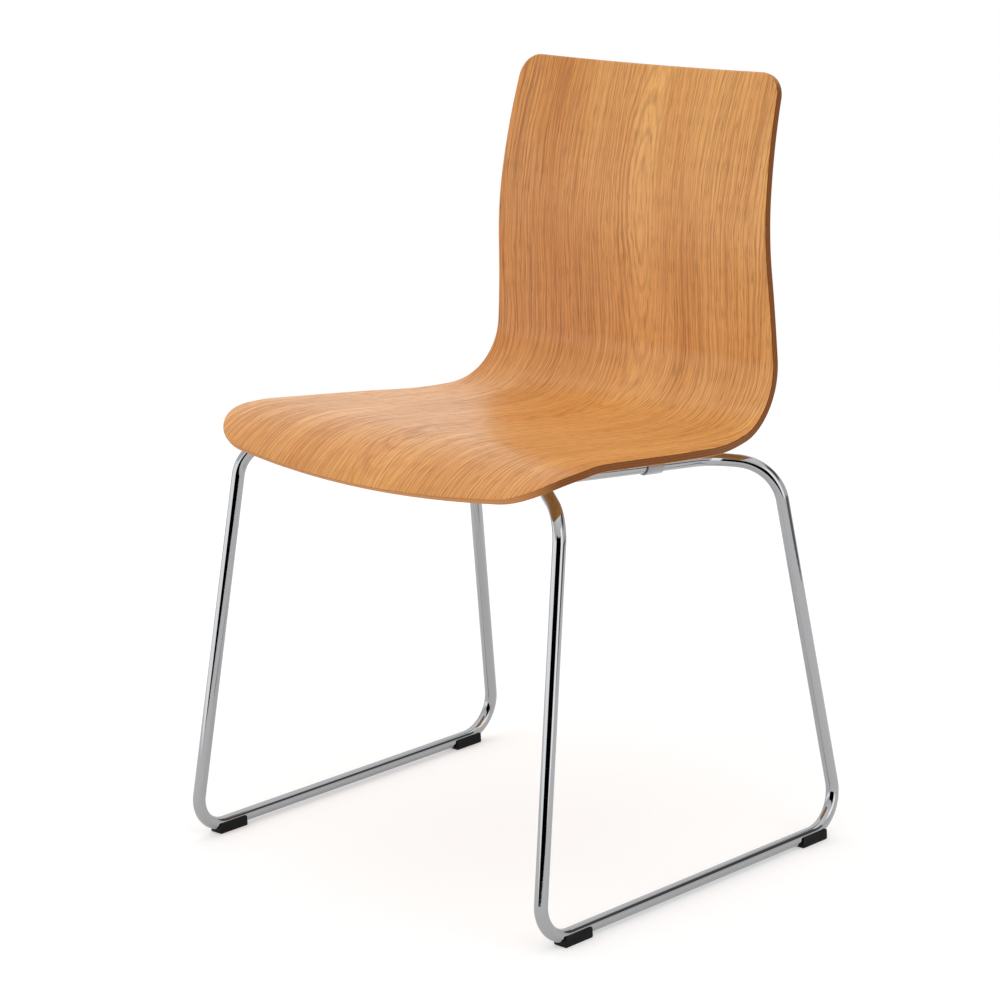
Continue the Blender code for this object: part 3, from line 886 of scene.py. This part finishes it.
# Oak face veneer, cut flat across the log: growth rings open round an eye in the middle of the
# back and run close and straight towards the sides, with fine open pores, under satin lacquer.
# Painted shade darkens the left of the back and the front lip.
eye_x, eye_s, eye_slope = 0.014, 0.600, 0.125
ring_spacing = 0.0044
drift_reach, wobble_reach = 0.009, 0.0011
pale_oak, dark_oak_and_shade = (0.850, 0.425, 0.126), (0.650, 0.238, 0.036)
late_wood_tint, streak_tint = (0.52, 0.38, 0.29), (0.50, 0.37, 0.29)
fibre_oak, pore_brown = (0.880, 0.460, 0.150), (0.250, 0.085, 0.022)

veneer, tree, shader = new_finish("oak_veneer", (0.6, 0.28, 0.1), 0.36)
split = step(tree, "ShaderNodeSeparateXYZ",
             Vector=step(tree, "ShaderNodeUVMap", {"uv_map": "Blank"}).outputs[0])
across, along = split.outputs[0], split.outputs[1]
drift = grain_noise(tree, across, along, 6.0, 1.6, 2.0)
wobble = grain_noise(tree, across, along, 45.0, 16.0, 1.0)
wavy = sums(tree, "ADD", across, ranged(tree, drift, 0.2, 0.8, -drift_reach, drift_reach))
wavy = sums(tree, "ADD", wavy, ranged(tree, wobble, 0.2, 0.8, -wobble_reach, wobble_reach))

# Rings: distance from the log's heart, which lies deeper the further the veneer runs from the eye
from_eye = sums(tree, "SUBTRACT", wavy, eye_x)
off_eye = times(tree, sums(tree, "SUBTRACT", along, eye_s), eye_slope)
squares = sums(tree, "ADD", times(tree, from_eye, from_eye), times(tree, off_eye, off_eye))
ring_count = sums(tree, "DIVIDE", sums(tree, "SQRT", squares), ring_spacing)
years = step(tree, "ShaderNodeTexNoise", {"noise_dimensions": "1D"}, W=times(tree, ring_count, 0.55),
             Scale=1.0, Detail=2.0).outputs[0]
ring_turn = sums(tree, "MULTIPLY_ADD", ring_count, 2 * math.pi, times(tree, years, 9.0))
late_wood = ranged(tree, sums(tree, "SINE", ring_turn), -0.1, 1.0)

streaks = ranged(tree, grain_noise(tree, wavy, along, 470.0, 5.0, 4.0, 0.66), 0.42, 0.62)
fibres = ranged(tree, grain_noise(tree, wavy, along, 1100.0, 20.0, 2.0), 0.32, 0.68)
pores = ranged(tree, grain_noise(tree, wavy, along, 1300.0, 45.0, 1.0), 0.58, 0.72)
boards = ranged(tree, grain_noise(tree, across, along, 14.0, 1.3, 2.0), 0.30, 0.70)

# How strongly each mark shows, from the heart in the middle of the back to the plain sides
heart = times(tree, ranged(tree, sums(tree, "ABSOLUTE", from_eye), 0.015, 0.060, 1.0, 0.0),
              ranged(tree, along, 0.20, 0.42, 0.15, 1.0))
ring_strength = ranged(tree, grain_noise(tree, across, along, 18.0, 4.0, 1.0), 0.25, 0.75, 0.40, 1.0)
ring_strength = times(tree, ring_strength, sums(tree, "MULTIPLY_ADD", heart, 0.32, 0.32))
# Painted shade: the left of the back is darkened and more heavily streaked, standing in for the shade that
# falls there
painted_shade_left = times(tree, ranged(tree, across, -0.19, -0.02, 1.0, 0.0), ranged(tree, along, 0.32, 0.44))
streak_strength = sums(tree, "MULTIPLY_ADD", heart, -0.34, 0.62)
streak_strength = sums(tree, "MULTIPLY_ADD", painted_shade_left, 0.16, streak_strength)
tone_and_painted_shade = sums(tree, "MULTIPLY_ADD", painted_shade_left, 0.75, times(tree, boards, 0.5))
# Painted shade: the colour darkens towards the front lip
tone_and_painted_shade = sums(tree, "ADD", tone_and_painted_shade, ranged(tree, along, 0.02, 0.20, 0.35, 0.0))

tone = blended(tree, tone_and_painted_shade, pale_oak, dark_oak_and_shade)
tone = blended(tree, times(tree, late_wood, ring_strength), tone, late_wood_tint, "MULTIPLY")
tone = blended(tree, times(tree, streaks, streak_strength), tone, streak_tint, "MULTIPLY")
tone = blended(tree, times(tree, fibres, 0.24), tone, fibre_oak)
tone = blended(tree, times(tree, pores, 0.50), tone, pore_brown)
tree.links.new(tone, shader.inputs["Base Color"])
sheen = sums(tree, "MULTIPLY_ADD", pores, 0.2, ranged(tree, streaks, 0.0, 1.0, 0.32, 0.42))
tree.links.new(sheen, shader.inputs["Roughness"])
shader.inputs["Specular IOR Level"].default_value = 0.32
shader.inputs["Coat Weight"].default_value = 0.07
shader.inputs["Coat Roughness"].default_value = 0.22
hollows = sums(tree, "ADD", times(tree, pores, -1.0), times(tree, streaks, -0.5))
relief(tree, shader, hollows, strength=0.35, distance=0.00012)

# Cut edge: seven plies, long grain and darker end grain in turn, painted shade making it brown
# along the sides of the shell and painted light making it paler across its front and top
plies = 7
ply_waver = 0.00008
shaded_side_long, shaded_side_end = (0.235, 0.076, 0.014), (0.150, 0.042, 0.008)
lit_front_long, lit_front_end = (0.620, 0.280, 0.098), (0.520, 0.215, 0.070)
edge_fibre, edge_dot = (0.400, 0.160, 0.045), (0.110, 0.042, 0.020)

ply_edge, tree, shader = new_finish("ply_edge", (0.35, 0.15, 0.07), 0.5)
split = step(tree, "ShaderNodeSeparateXYZ",
             Vector=step(tree, "ShaderNodeUVMap", {"uv_map": "Ply"}).outputs[0])
depth, along = split.outputs[0], split.outputs[1]
wander = ranged(tree, grain_noise(tree, depth, along, 50.0, 12.0, 1.0), 0.2, 0.8, -ply_waver, ply_waver)
ply_level = times(tree, sums(tree, "ADD", depth, wander), plies / (2 * shell_thickness))
end_grain = ranged(tree, sums(tree, "PINGPONG", ply_level, 0.5), 0.22, 0.28)
fibres = grain_noise(tree, depth, along, 3800.0, 160.0, 3.0)
dots = grain_noise(tree, depth, along, 5200.0, 4200.0, 2.0)
turned_to = step(tree, "ShaderNodeAttribute", {"attribute_name": "outwards"}).outputs["Vector"]
lengthways = step(tree, "ShaderNodeSeparateXYZ", Vector=turned_to).outputs[1]
# Painted light and shade: edges that face along the shell, at its front and top, are painted paler and the
# sides darker, for how light falls on them
lit_front_share = ranged(tree, sums(tree, "ABSOLUTE", lengthways), 0.35, 0.95)
shaded_side_tone = blended(tree, end_grain, shaded_side_long, shaded_side_end)
tone = blended(tree, lit_front_share, shaded_side_tone, blended(tree, end_grain, lit_front_long, lit_front_end))
tone = blended(tree, ranged(tree, fibres, 0.3, 0.7, 0.0, 0.22), tone, edge_fibre)
tone = blended(tree, ranged(tree, dots, 0.5, 0.72, 0.0, 0.30), tone, edge_dot)
tree.links.new(tone, shader.inputs["Base Color"])
tree.links.new(ranged(tree, fibres, 0.2, 0.8, 0.42, 0.60), shader.inputs["Roughness"])
shader.inputs["Specular IOR Level"].default_value = 0.12
sawn = sums(tree, "ADD", fibres, times(tree, end_grain, -0.4))
relief(tree, shader, sawn, strength=0.3, distance=0.00015)

shell.data.materials.append(veneer)
shell.data.materials.append(ply_edge)
hand_over(shell, "oak_plywood", "seat_shell")


# ---- Studio ----
# The chair stands on a round sheet of white paper that glows softly, under a white tent. The tent
# has a brighter strip on each side of the camera, and openings behind the camera and to its right,
# which draw the dark lines along the chrome.

floor_radius, floor_points = 2.1, 96
rim = [(x, y, 0.0) for x, y in circle((0.0, 0.0), floor_radius, floor_points)]
floor_mesh = bpy.data.meshes.new("studio_floor")
floor_mesh.from_pydata(rim, [], [tuple(range(len(rim)))])
floor = set_down("studio_floor", floor_mesh)
paper, tree, shader = new_finish("floor_paper", (0.72, 0.72, 0.72), 0.9)
shader.inputs["Emission Color"].default_value = (1.0, 1.0, 1.0, 1.0)
shader.inputs["Emission Strength"].default_value = 0.32
shader.inputs["Specular IOR Level"].default_value = 0.1
floor.data.materials.append(paper)
floor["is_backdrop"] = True

camera_yaw, camera_pitch, camera_roll = math.radians(46.01), math.radians(14.49), math.radians(-2.68)
camera_spot = (2.560, -2.486, 1.293)
camera = set_down("studio_camera", bpy.data.cameras.new("studio_camera"))
camera.data.sensor_width = 36.0
camera.data.lens = 125.7
camera.data.clip_end = 100.0
aim = Matrix.Rotation(camera_yaw, 4, "Z") @ Matrix.Rotation(math.pi / 2 - camera_pitch, 4, "X")
aim = aim @ Matrix.Rotation(camera_roll, 4, "Z")
camera.matrix_world = Matrix.Translation(camera_spot) @ aim
bpy.context.scene.camera = camera

tent = bpy.data.worlds.new("studio_tent")
bpy.context.scene.world = tent
tent.use_nodes = True
tree = tent.node_tree
tree.nodes.clear()
degrees = 180 / math.pi
heading = step(tree, "ShaderNodeSeparateXYZ", Vector=step(tree, "ShaderNodeTexCoord").outputs["Generated"])
# Swing to the right of the camera, in degrees from -180 to 180, and lift above the level
swing = sums(tree, "ARCTAN2", heading.outputs[1], heading.outputs[0])
swing = sums(tree, "SUBTRACT", swing, math.atan2(camera_spot[1], camera_spot[0]))
swing = sums(tree, "WRAP", times(tree, swing, degrees), 180.0, -180.0)
lift = times(tree, sums(tree, "ARCSINE", heading.outputs[2]), degrees)


def between(value, low, high, soft):
    """Share from 0 to 1 that rises at low and falls at high, each over twice the soft width."""
    return times(tree, ranged(tree, value, low - soft, low + soft),
                 ranged(tree, value, high + soft, high - soft))


def panel(left, right, low, high, soft):
    """Share from 0 to 1 of a patch of the tent between two swings and two lifts."""
    return times(tree, between(swing, left, right, soft), between(lift, low, high, soft))


wall_light, ceiling_light = 0.92, 1.30
# Each brighter strip: its left and right, its foot and top, and the light it adds. The last two
# are one strip behind the chair.
bright_strips = ((-118, -42, -8, 12, 0.9), (27, 56, -8, 40, 1.1),
                 (150, 190, 3, 35, 0.1), (-190, -150, 3, 35, 0.1))
# Each opening: its left and right, its foot and top, and the share of light that it leaves
openings = ((-48, 24, -95, 24, 0.0), (60, 116, -95, -2, 0.25), (74, 132, 21, 46, 0.12))
bright = ranged(tree, lift, 10.0, 70.0, wall_light, ceiling_light)
for left, right, low, high, extra in bright_strips:
    bright = sums(tree, "MULTIPLY_ADD", panel(left, right, low, high, 3.0), extra, bright)
for left, right, low, high, left_over in openings:
    gap = times(tree, panel(left, right, low, high, 2.0), 1.0 - left_over)
    bright = times(tree, bright, sums(tree, "SUBTRACT", 1.0, gap))
# The camera itself sees plain white beyond the floor
seen = step(tree, "ShaderNodeLightPath").outputs["Is Camera Ray"]
bright = sums(tree, "ADD", times(tree, bright, sums(tree, "SUBTRACT", 1.0, seen)), seen)
sky = step(tree, "ShaderNodeBackground", Color=(1.0, 1.0, 1.0, 1.0), Strength=bright)
tree.links.new(sky.outputs[0], step(tree, "ShaderNodeOutputWorld").inputs["Surface"])
bpy.context.scene.view_settings.view_transform = "Standard"

low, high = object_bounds()
